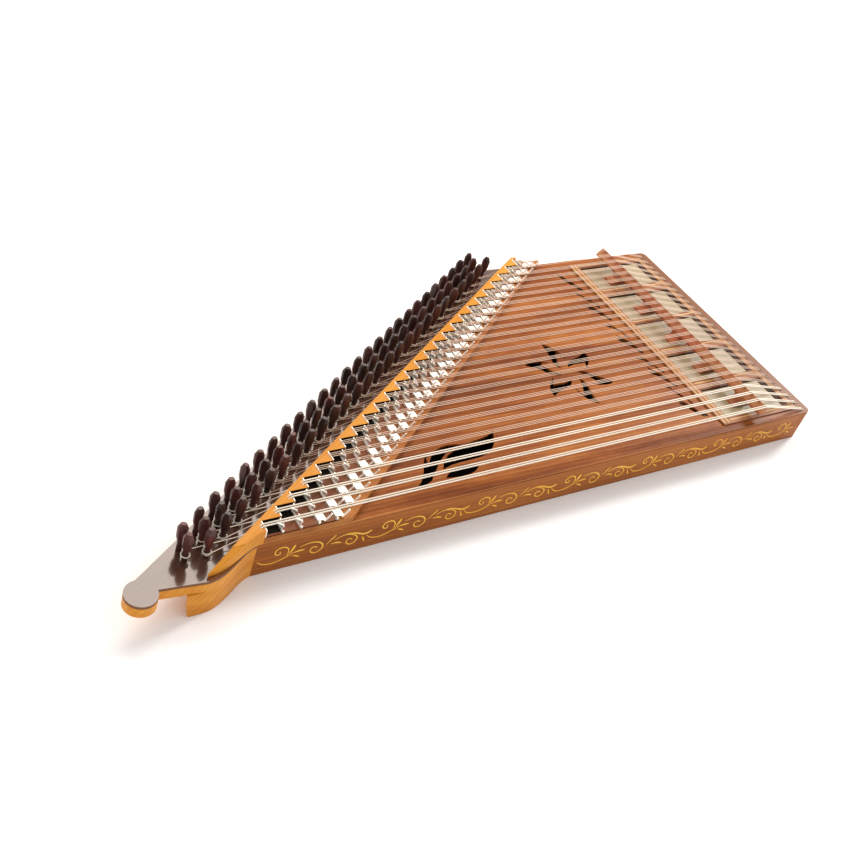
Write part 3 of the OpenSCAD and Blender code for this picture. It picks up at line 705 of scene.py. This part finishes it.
blank = peg_blank()
for row, row_name in enumerate(ROW_NAMES):
    fixed_pegs, fixed_turns = [], []
    for k in range(1, COURSES + 1):
        x, y = peg_place(k, row)
        turn = (k * 37 + row * 61) % 90 - 65
        where = (Matrix.Translation(at(x, y, BODY_H))
                 @ Matrix.Rotation(math.radians(turn), 4, "Z"))
        peg = copy_of(blank, "turned_peg_%d_%s" % (k, row_name), where)
        turns = None
        if row in string_rows(k):
            turns = winding("winding_%d_%s" % (k, row_name), k, row)
        if k <= JOINTED:
            body = "peg_%d_%s" % (k, row_name)
            finish_piece(peg, PEG, body, "peg_wood", body)
            if turns:
                finish_piece(turns, BASS, body, "bass_string")
        else:
            fixed_pegs.append(peg)
            fixed_turns.append(turns)
    finish_piece(joined("turned_pegs_" + row_name, fixed_pegs), PEG, "body", "peg_wood",
                 "pegs_" + row_name)
    finish_piece(joined("windings_" + row_name, fixed_turns), BASS, "body", "treble_string")
bpy.data.objects.remove(blank)


# ---------------------------------------------------------------- strings

THIN_BASS_R = 0.48
THIN_TREBLE_R = 0.22


def string_line(k, row):
    """One string's route: tail hole, bridge, nut, its passage in the nut board, and peg."""
    r = string_radius(k)
    y = course_y(k) + string_offset(k, row)
    px, py = peg_place(k, row)
    on_tail = BODY_H + 1.2 * r + STRING_CLEAR
    on_bridge = BRIDGE_Z + NUT_CLEAR + r
    on_nut = NUT_Z + NUT_CLEAR + r
    nut_edge = nut_x(k) + 0.8
    channel_x = EDGE_X + SLOPE * course_y(k) - CHANNEL_RUN
    channel_z = on_nut - (nut_edge - channel_x) * CHANNEL_FALL
    route = [(TAIL_HOLE_X, y, TAIL_HOLE_Z), (TAIL_HOLE_X, y, on_tail - 1.4),
             (TAIL_HOLE_X - 0.5, y, on_tail - 0.35), (TAIL_HOLE_X - 2, y, on_tail + 0.35),
             (BRIDGE_X + 2, y, on_bridge - 0.08), (BRIDGE_X, y, on_bridge),
             (BRIDGE_X - 2, y, on_bridge - 0.01), (nut_edge + 0.8, y, on_nut),
             (nut_edge, y, on_nut), (channel_x, y, channel_z),
             (px, py + side_of(row) * (STEM_R + r + STRING_CLEAR), WIND_Z[row])]
    full, thin = (r, THIN_BASS_R) if k <= BASS_COURSES else (TREBLE_DRAWN, THIN_TREBLE_R)
    return "POLY", [(at(*point), (thin if point[0] < nut_x(k) - 1 else full) * MM)
                    for point in route]


def set_of_strings(kind, finish, first, last):
    """All strings of the courses from first to last, as one piece."""
    lines = [string_line(k, row) for k in range(first, last + 1) for row in string_rows(k)]
    strings = strand(kind + "_strings", lines)
    smooth(strings, 60)
    finish_piece(strings, finish, "body", kind + "_string", "strings_" + kind)


set_of_strings("bass", BASS, 1, BASS_COURSES)
set_of_strings("treble", TREBLE, BASS_COURSES + 1, COURSES)


# ---------------------------------------------------------------- the skin

HOLLOW = 0.5
PUCKER = 0.07


def skin_sheet():
    """One thin skin under the frame, drawn tight over five openings, a little hollow in each."""
    x0, x1 = SKIN_LEFT - SKIN_UNDER_FRAME, SKIN_RIGHT + SKIN_UNDER_FRAME
    y0, y1 = SKIN_FIELDS[0][0] - SKIN_UNDER_FRAME, SKIN_FIELDS[-1][1] + SKIN_UNDER_FRAME
    rest()
    bpy.ops.mesh.primitive_grid_add(x_subdivisions=48, y_subdivisions=120, size=1)
    sheet = bpy.context.object
    sheet.name = "skin_sheet"
    sheet.location = at((x0 + x1) / 2, (y0 + y1) / 2, BODY_H + SKIN_THICK / 2)
    sheet.scale = ((x1 - x0) * MM, (y1 - y0) * MM, 1)
    settle(sheet)
    for vertex in sheet.data.vertices:
        x = vertex.co.x / MM - DRAWN_X
        y = vertex.co.y / MM - DRAWN_Y
        for (front, back), foot in zip(SKIN_FIELDS, FEET_Y):
            if front < y < back and SKIN_LEFT < x < SKIN_RIGHT:
                u = (x - SKIN_LEFT) / (SKIN_RIGHT - SKIN_LEFT)
                v = (y - front) / (back - front)
                hollow = (16 * u * (1 - u) * v * (1 - v)) ** 0.7
                near = math.hypot((x - BRIDGE_X + 4) / 34, (y - foot) / 20)
                away = min(1.0, max(0.0, near - 0.9))
                ripple = math.sin(x * 0.55 + 2 * math.sin(y * 0.11)) * math.sin(y * 0.31 + 1)
                vertex.co.z -= (HOLLOW + PUCKER * ripple) * hollow * away * MM
    add_modifier(sheet, "SOLIDIFY", thickness=SKIN_THICK * MM, offset=0.0)
    smooth(sheet, 60)
    finish_piece(sheet, SKIN, "body", "skin", "skin")


skin_sheet()


# ---------------------------------------------------------------- inlay, bands, painted highlight and painted shade

def slip(x0, x1, y0, y1, z0, z1, round_by=0.12):
    """A slip of wood between two corners, with its top edges eased."""
    rest()
    bpy.ops.mesh.primitive_cube_add(size=1)
    piece = bpy.context.object
    piece.location = at((x0 + x1) / 2, (y0 + y1) / 2, (z0 + z1) / 2)
    piece.scale = (abs(x1 - x0) * MM, abs(y1 - y0) * MM, (z1 - z0) * MM)
    settle(piece)
    bpy.ops.object.mode_set(mode="EDIT")
    select_faces(piece, lambda c, n: n.z > 0.9)
    bpy.ops.mesh.inset(thickness=round_by * MM)
    bpy.ops.transform.translate(value=(0, 0, round_by * MM))
    bpy.ops.object.mode_set(mode="OBJECT")
    return piece


PALE_PROUD = 0.12
DARK_PROUD = 0.06
LEFT_LINES = (-163.6, -156.6)
LEFT_LINE_WIDE = 2.2
RIGHT_LINES = (-28.7, -24.1)
RIGHT_LINE_WIDE = 1.4


def let_in(x0, x1, y0, y1, proud):
    """A slip let into the top of the skin frame, a little proud of it."""
    return slip(x0, x1, y0, y1, FRAME_TOP - 0.3, FRAME_TOP + proud)


def frame_inlay():
    """Pale double lines left and right of the skins, one in front of each and one behind."""
    y0, y1 = SKIN_FIELDS[0][0] - 8, SKIN_FIELDS[-1][1] + 8
    slips = [let_in(x, x + LEFT_LINE_WIDE, y0, y1, PALE_PROUD) for x in LEFT_LINES]
    slips += [let_in(x, x + RIGHT_LINE_WIDE, y0, y1, PALE_PROUD) for x in RIGHT_LINES]
    for y, wide in [(front - 4.6, 2.2) for front, back in SKIN_FIELDS] + [(y1 - 3.2, 2.0)]:
        slips.append(let_in(SKIN_LEFT + 1, SKIN_RIGHT - 1, y, y + wide, PALE_PROUD))
    finish_piece(joined("frame_inlay", slips), INLAY, "body", "board_wood")


def window_edges():
    """Dark edges behind and in front of each skin window; the edge behind each window is painted
    shadow.
    """
    slips = []
    for front, back in SKIN_FIELDS:
        for y0, y1 in ((back + 0.3, back + 1.5), (front - 1.9, front - 0.5)):
            slips.append(let_in(SKIN_LEFT + 0.8, SKIN_RIGHT - 0.8, y0, y1, DARK_PROUD))
    finish_piece(joined("window_edges", slips), PAD, "body", "body_wood")


def front_edge_highlight():
    """A pale strip along the top of the front side: a painted highlight of its rounded edge."""
    edge = slip(-FRONT_LEN + 1, -8, -0.12, 0.7, BODY_H - 0.6, BODY_H + 0.02, 0.3)
    edge.name = "front_edge_highlight"
    finish_piece(edge, EDGE, "body", "board_wood")


def skin_shadow_slips():
    """Dark slips along the right and back of each window: painted shadow that the frame casts onto
    the skin.
    """
    slips = []
    low = BODY_H + 0.45
    for front, back in SKIN_FIELDS:
        slips.append(slip(SKIN_RIGHT - 10, SKIN_RIGHT - 0.9, front + 1.5, back - 1,
                          low, BODY_H + 0.9, 0.3))
        slips.append(slip(SKIN_LEFT + 1, SKIN_RIGHT - 1, back - 3.0, back - 0.9,
                          low, BODY_H + 1.35, 0.3))
    finish_piece(joined("skin_shadow_slips", slips), PAINTED_SHADE_WOOD, "body", "body_wood")


def flat_shapes(name, outlines, low, high):
    """Flat shapes sawn from thin sheet, drawn as outlines, between two heights."""
    curve = bpy.data.curves.new(name, "CURVE")
    curve.dimensions = "2D"
    curve.fill_mode = "BOTH"
    curve.extrude = (high - low) / 2 * MM
    for outline in outlines:
        spline = curve.splines.new("POLY")
        spline.points.add(len(outline) - 1)
        for place, (x, y) in zip(spline.points, outline):
            place.co = (*at(x, y, 0)[:2], 0, 1)
        spline.use_cyclic_u = True
    piece = bpy.data.objects.new(name, curve)
    bpy.context.collection.objects.link(piece)
    piece.location.z = (low + high) / 2 * MM
    take(piece)
    bpy.ops.object.convert(target="MESH")
    return settle(bpy.context.object)


def bend(a, b, c, d, steps):
    """Points along a curve with two handles."""
    points = []
    for n in range(steps + 1):
        t = n / steps
        shares = ((1 - t) ** 3, 3 * t * (1 - t) ** 2, 3 * t * t * (1 - t), t ** 3)
        points.append(tuple(sum(share * point[i] for share, point in zip(shares, (a, b, c, d)))
                            for i in (0, 1)))
    return points


def nose_band():
    """Brown slip on the peg board, between its front edge and the nut board's nose."""
    outer = bend((-848, -0.1), (-866, -3), (-888.2, -28.4), (-912.2, -28.4), 14)
    inner = bend((-847, -0.4), (-862.2, -0.5), (-879.9, -22.3), (-911.9, -23.8), 14)
    band = flat_shapes("nose_band", [outer + inner[::-1]], BODY_H + 0.02, BODY_H + 0.4)
    finish_piece(band, NOSE_BAND, "body", "dark_veneer")


# Middle (x, y), length and width of each dark leaf beside the cut ones of the chain: painted shade
# for more cut leaves that show the dark inside
SHADED_HOLE_LEAVES = [
    (-197.0, 347, 12, 5.4), (-183.6, 314, 13, 5.6), (-196.6, 303, 9, 4.4), (-184.2, 289, 11, 4),
    (-197.8, 269, 9, 4.6), (-183.4, 243.5, 10, 5.6), (-196.8, 229, 11, 5), (-184.6, 217.5, 13, 3.6),
    (-198.8, 197, 10, 5), (-184.2, 169, 10, 5.6), (-196.2, 156.5, 10, 4.2), (-188.3, 141.5, 9, 4.2),
    (-198.6, 125, 10, 4.8), (-180.2, 126, 9, 4.2), (-182.0, 97, 10, 4.4), (-194.5, 95, 10, 4.2),
    (-199.0, 62, 9, 4.8), (-179.2, 36, 12, 5.6), (-184, 202, 9, 3.6), (-181.5, 272, 8, 3.8)]


# The leaves lean to the left of straight back: the sine and cosine of that angle
LEAN_SIN = 0.39
LEAN_COS = 0.92
LEAF_STEPS = 8


def chain_leaves():
    """Dark leaves level with the soundboard: painted shade for more cut leaves that show the shaded
    inside.
    """
    outlines = []
    for x, y, length, wide in SHADED_HOLE_LEAVES:
        right, left = [], []
        for i in range(LEAF_STEPS + 1):
            t = i / LEAF_STEPS
            reach, swell = (t - 0.5) * length, 0.5 * wide * math.sin(math.pi * t) ** 0.8
            sway = 0.07 * length * math.sin(2 * math.pi * t)
            for side, points in ((1, right), (-1, left)):
                step = sway + side * swell
                points.append((x - LEAN_SIN * reach + LEAN_COS * step,
                               y + LEAN_COS * reach + LEAN_SIN * step))
        outlines.append(right + left[-2:0:-1])
    leaves = flat_shapes("chain_leaves", outlines, BODY_H - 0.2, BODY_H + 0.06)
    finish_piece(leaves, SHADE, "body", "dark_veneer")


# Distance between levers as a share of the speaking length, and the least that fits
LEVER_SHARE = 0.028
LEAST_GAP = 6.6
LEAST_LAST_GAP = 11.5


def lever_x(k, j):
    """Where lever j of course k is hinged, 1 being next to the nut."""
    gap = max(LEVER_SHARE * (BRIDGE_X - nut_x(k)), LEAST_GAP)
    return nut_x(k) + gap * min(j, 3) + (max(gap, LEAST_LAST_GAP) if j == 4 else 0)


def pad_shade_strips():
    """A dark strip under the pads of each course: painted shade that shows in the joints between
    the pads.
    """
    strips = [slip(nut_x(k) + 1.7, lever_x(k, 4) + 1.2, COURSE_PITCH * (k - 1) + 0.4,
                   COURSE_PITCH * k - 0.35, LEVER_Z - 0.2, LEVER_Z + 0.04, 0.03)
              for k in range(1, COURSES + 1)]
    finish_piece(joined("pad_shade_strips", strips), PAINTED_SHADE_WOOD, "body", "body_wood")


def dark_step_plates():
    """A dark plate on the face of each step of the nut board, on the player's side, and a dark
    plate on the first pad, in the corner between the step and the first lever: painted shadow under
    the strings next to the step."""
    plates = [slip(nut_x(k) + 1.9, nut_x(k + 1) - 0.3, COURSE_PITCH * k - 0.25,
                   COURSE_PITCH * k + 0.1, LEVER_Z + 0.05, NUT_BOARD_TOP, 0.05)
              for k in range(1, COURSES)]
    plates += [slip(nut_x(k) + 2.1, lever_x(k, 1) - 1.2, COURSE_PITCH * (k - 0.8),
                    COURSE_PITCH * k - 0.4, LEVER_Z + 1.3, LEVER_Z + 1.55, 0.05)
               for k in range(1, COURSES + 1)]
    finish_piece(joined("dark_step_plates", plates), SHADE, "body", "dark_veneer")


frame_inlay()
window_edges()
front_edge_highlight()
skin_shadow_slips()
pad_shade_strips()
nose_band()
chain_leaves()
dark_step_plates()


# ---------------------------------------------------------------- the vine on the front side

def stroke(x0, shape, wide):
    """One brush stroke of the vine: drawn points and its half width along them."""
    points = []
    for i, (x, z) in enumerate(shape):
        share = i / (len(shape) - 1)
        (s0, w0), (s1, w1) = next(pair for pair in zip(wide, wide[1:])
                                  if pair[0][0] <= share <= pair[1][0])
        width = w0 + (w1 - w0) * (share - s0) / (s1 - s0)
        points.append((at(x0 + x, 0, z), width * MM))
    return "NURBS", points


# Half widths by their place along a stroke, and then the strokes themselves (x, z)
THIN = [(0, 0.25), (0.15, 0.75), (0.8, 0.85), (1, 0.35)]
CURL = [(0, 0.35), (0.3, 0.95), (0.8, 0.7), (1, 0.6)]
FULL_LEAF = [(0, 0.2), (0.45, 1.1), (0.8, 2.5), (1, 1.0)]
SLIM_LEAF = [(0, 0.2), (0.5, 1.0), (0.8, 1.75), (1, 0.7)]
BLADE = [(0, 0.3), (0.5, 0.7), (0.85, 1.3), (1, 0.6)]
SWEEP = [(0, 0.4), (0.3, 0.8), (0.75, 1.3), (0.92, 1.6), (1, 1.0)]
VINE = [
    ([(6.3, 20.2), (10.2, 15.4), (16.9, 12.8), (24.7, 12.2), (32.4, 13.8), (40.2, 17.3),
      (46.9, 20.4)], THIN),
    ([(40.2, 17.6), (41.2, 23), (40.2, 29.5), (36, 33), (30.6, 33.6), (25.6, 31), (24.8, 26),
      (28.6, 22.6), (32.6, 24.3), (30.6, 27.6)], CURL),
    ([(42.4, 20.4), (43.8, 23.5), (45.8, 28), (47.2, 32.6)], FULL_LEAF),
    ([(45, 20.6), (49, 21.2), (54, 22), (59.8, 21.6)], SLIM_LEAF),
    ([(46.3, 16.9), (49, 16), (52, 14.4), (55.4, 12.6)], SLIM_LEAF),
    ([(53.6, 27.1), (60.2, 29.7), (69.1, 30.2), (77.2, 27.3), (82.2, 21.4), (81.1, 15.2),
      (74.7, 11.3), (68.2, 14.2), (67.2, 20), (71.2, 23.2), (75.2, 20)], CURL),
    ([(85.6, 20.6), (88.6, 24.4), (92, 28.6), (95.2, 32.6)], BLADE),
    ([(91.2, 19.7), (95, 20.2), (100, 19.8), (104.4, 17.8)], SLIM_LEAF),
    ([(94.8, 24.6), (100.2, 27.8), (109, 29.6), (116, 28.8), (123.6, 26), (130.2, 23), (136, 23),
      (140.4, 26.2)], SWEEP),
    ([(109.1, 28.4), (118, 26.4), (123.8, 21), (123, 14.6), (117.8, 11), (111.2, 13.6),
      (110.2, 19), (113.8, 22.4), (117.4, 18.8)], CURL),
    ([(129.6, 20.4), (131.2, 17), (132.6, 14), (133.8, 11.4)], SLIM_LEAF),
]
VINE_START = -850
VINE_REPEAT = 128.5
VINE_REPEATS = 7
VINE_FLATNESS = 0.12


def front_vine():
    """The whole vine, its round strokes pressed almost flat against the front side."""
    strokes = []
    for repeat in range(VINE_REPEATS):
        x0 = VINE_START + VINE_REPEAT * repeat
        for shape, wide in VINE:
            if all(-846 < x0 + x < -3 for x, z in shape):
                strokes.append(stroke(x0, shape, wide))
    vine = strand("front_vine", strokes, steps=3)
    for vertex in vine.data.vertices:
        vertex.co.y = (DRAWN_Y - 0.05) * MM + (vertex.co.y - DRAWN_Y * MM) * VINE_FLATNESS
    smooth(vine, 60)
    finish_piece(vine, GOLD, "body", "maple")


front_vine()


# ---------------------------------------------------------------- camera, floor and light

# The camera that was fitted to the photograph: metres, degrees and millimetres
CAMERA_PLACE = (-0.825585, -0.816004, 0.886712)
CAMERA_TURN = (49.6745621, -15.85838401, -31.7503549)
CAMERA_LENS = 48.863
SKY_STRENGTH = 0.82


def set_camera():
    rest()
    bpy.ops.object.camera_add(location=CAMERA_PLACE)
    camera = bpy.context.object
    camera.rotation_euler = tuple(math.radians(angle) for angle in CAMERA_TURN)
    camera.data.sensor_width = 36.0
    camera.data.lens = CAMERA_LENS
    camera.data.clip_start = 0.05
    camera.data.clip_end = 60.0
    bpy.context.scene.camera = camera


def set_floor():
    """The white floor that shows only in pictures."""
    rest()
    bpy.ops.mesh.primitive_plane_add(size=14, location=(0, 0, -0.0002))
    floor = settle(bpy.context.object)
    floor.name = "studio_floor"
    material, tree, shader = new_material("studio_floor")
    where = tree.nodes.new("ShaderNodeTexCoord")
    cloud = node(tree, "ShaderNodeTexNoise", Scale=1.5, Detail=2.0)
    tree.links.new(where.outputs["Object"], cloud.inputs["Vector"])
    tree.links.new(mixed(tree, "MIX", (0.95, 0.955, 0.96), (0.965, 0.97, 0.975),
                         factor=cloud.outputs["Fac"]), shader.inputs["Base Color"])
    shader.inputs["Roughness"].default_value = 0.9
    floor.data.materials.append(material)


def soft_light(name, place, aim, size, power, colour):
    """A window of light at a place, turned towards a point."""
    rest()
    bpy.ops.object.light_add(type="AREA", location=place)
    light = bpy.context.object
    light.name = name
    light.data.shape = "RECTANGLE"
    light.data.size, light.data.size_y = size
    light.data.energy = power
    light.data.color = colour
    light.rotation_euler = (Vector(aim) - Vector(place)).to_track_quat("-Z", "Y").to_euler()


def set_light():
    world = bpy.data.worlds.new("studio")
    bpy.context.scene.world = world
    world.use_nodes = True
    sky = world.node_tree.nodes["Background"]
    sky.inputs["Color"].default_value = (1.0, 1.0, 1.0, 1.0)
    sky.inputs["Strength"].default_value = SKY_STRENGTH
    soft_light("back_window", (0.1, 1.15, 1.45), (-0.15, 0.0, 0.0), (1.5, 1.0), 28,
               (1.0, 0.87, 0.76))
    soft_light("right_window", (4.2, 1.1, 2.5), (0.0, 0.0, 0.0), (0.9, 0.9), 170,
               (1.0, 0.98, 0.95))
    bpy.context.scene.view_settings.view_transform = "Standard"
    bpy.context.scene.view_settings.look = "None"


set_camera()
set_floor()
set_light()
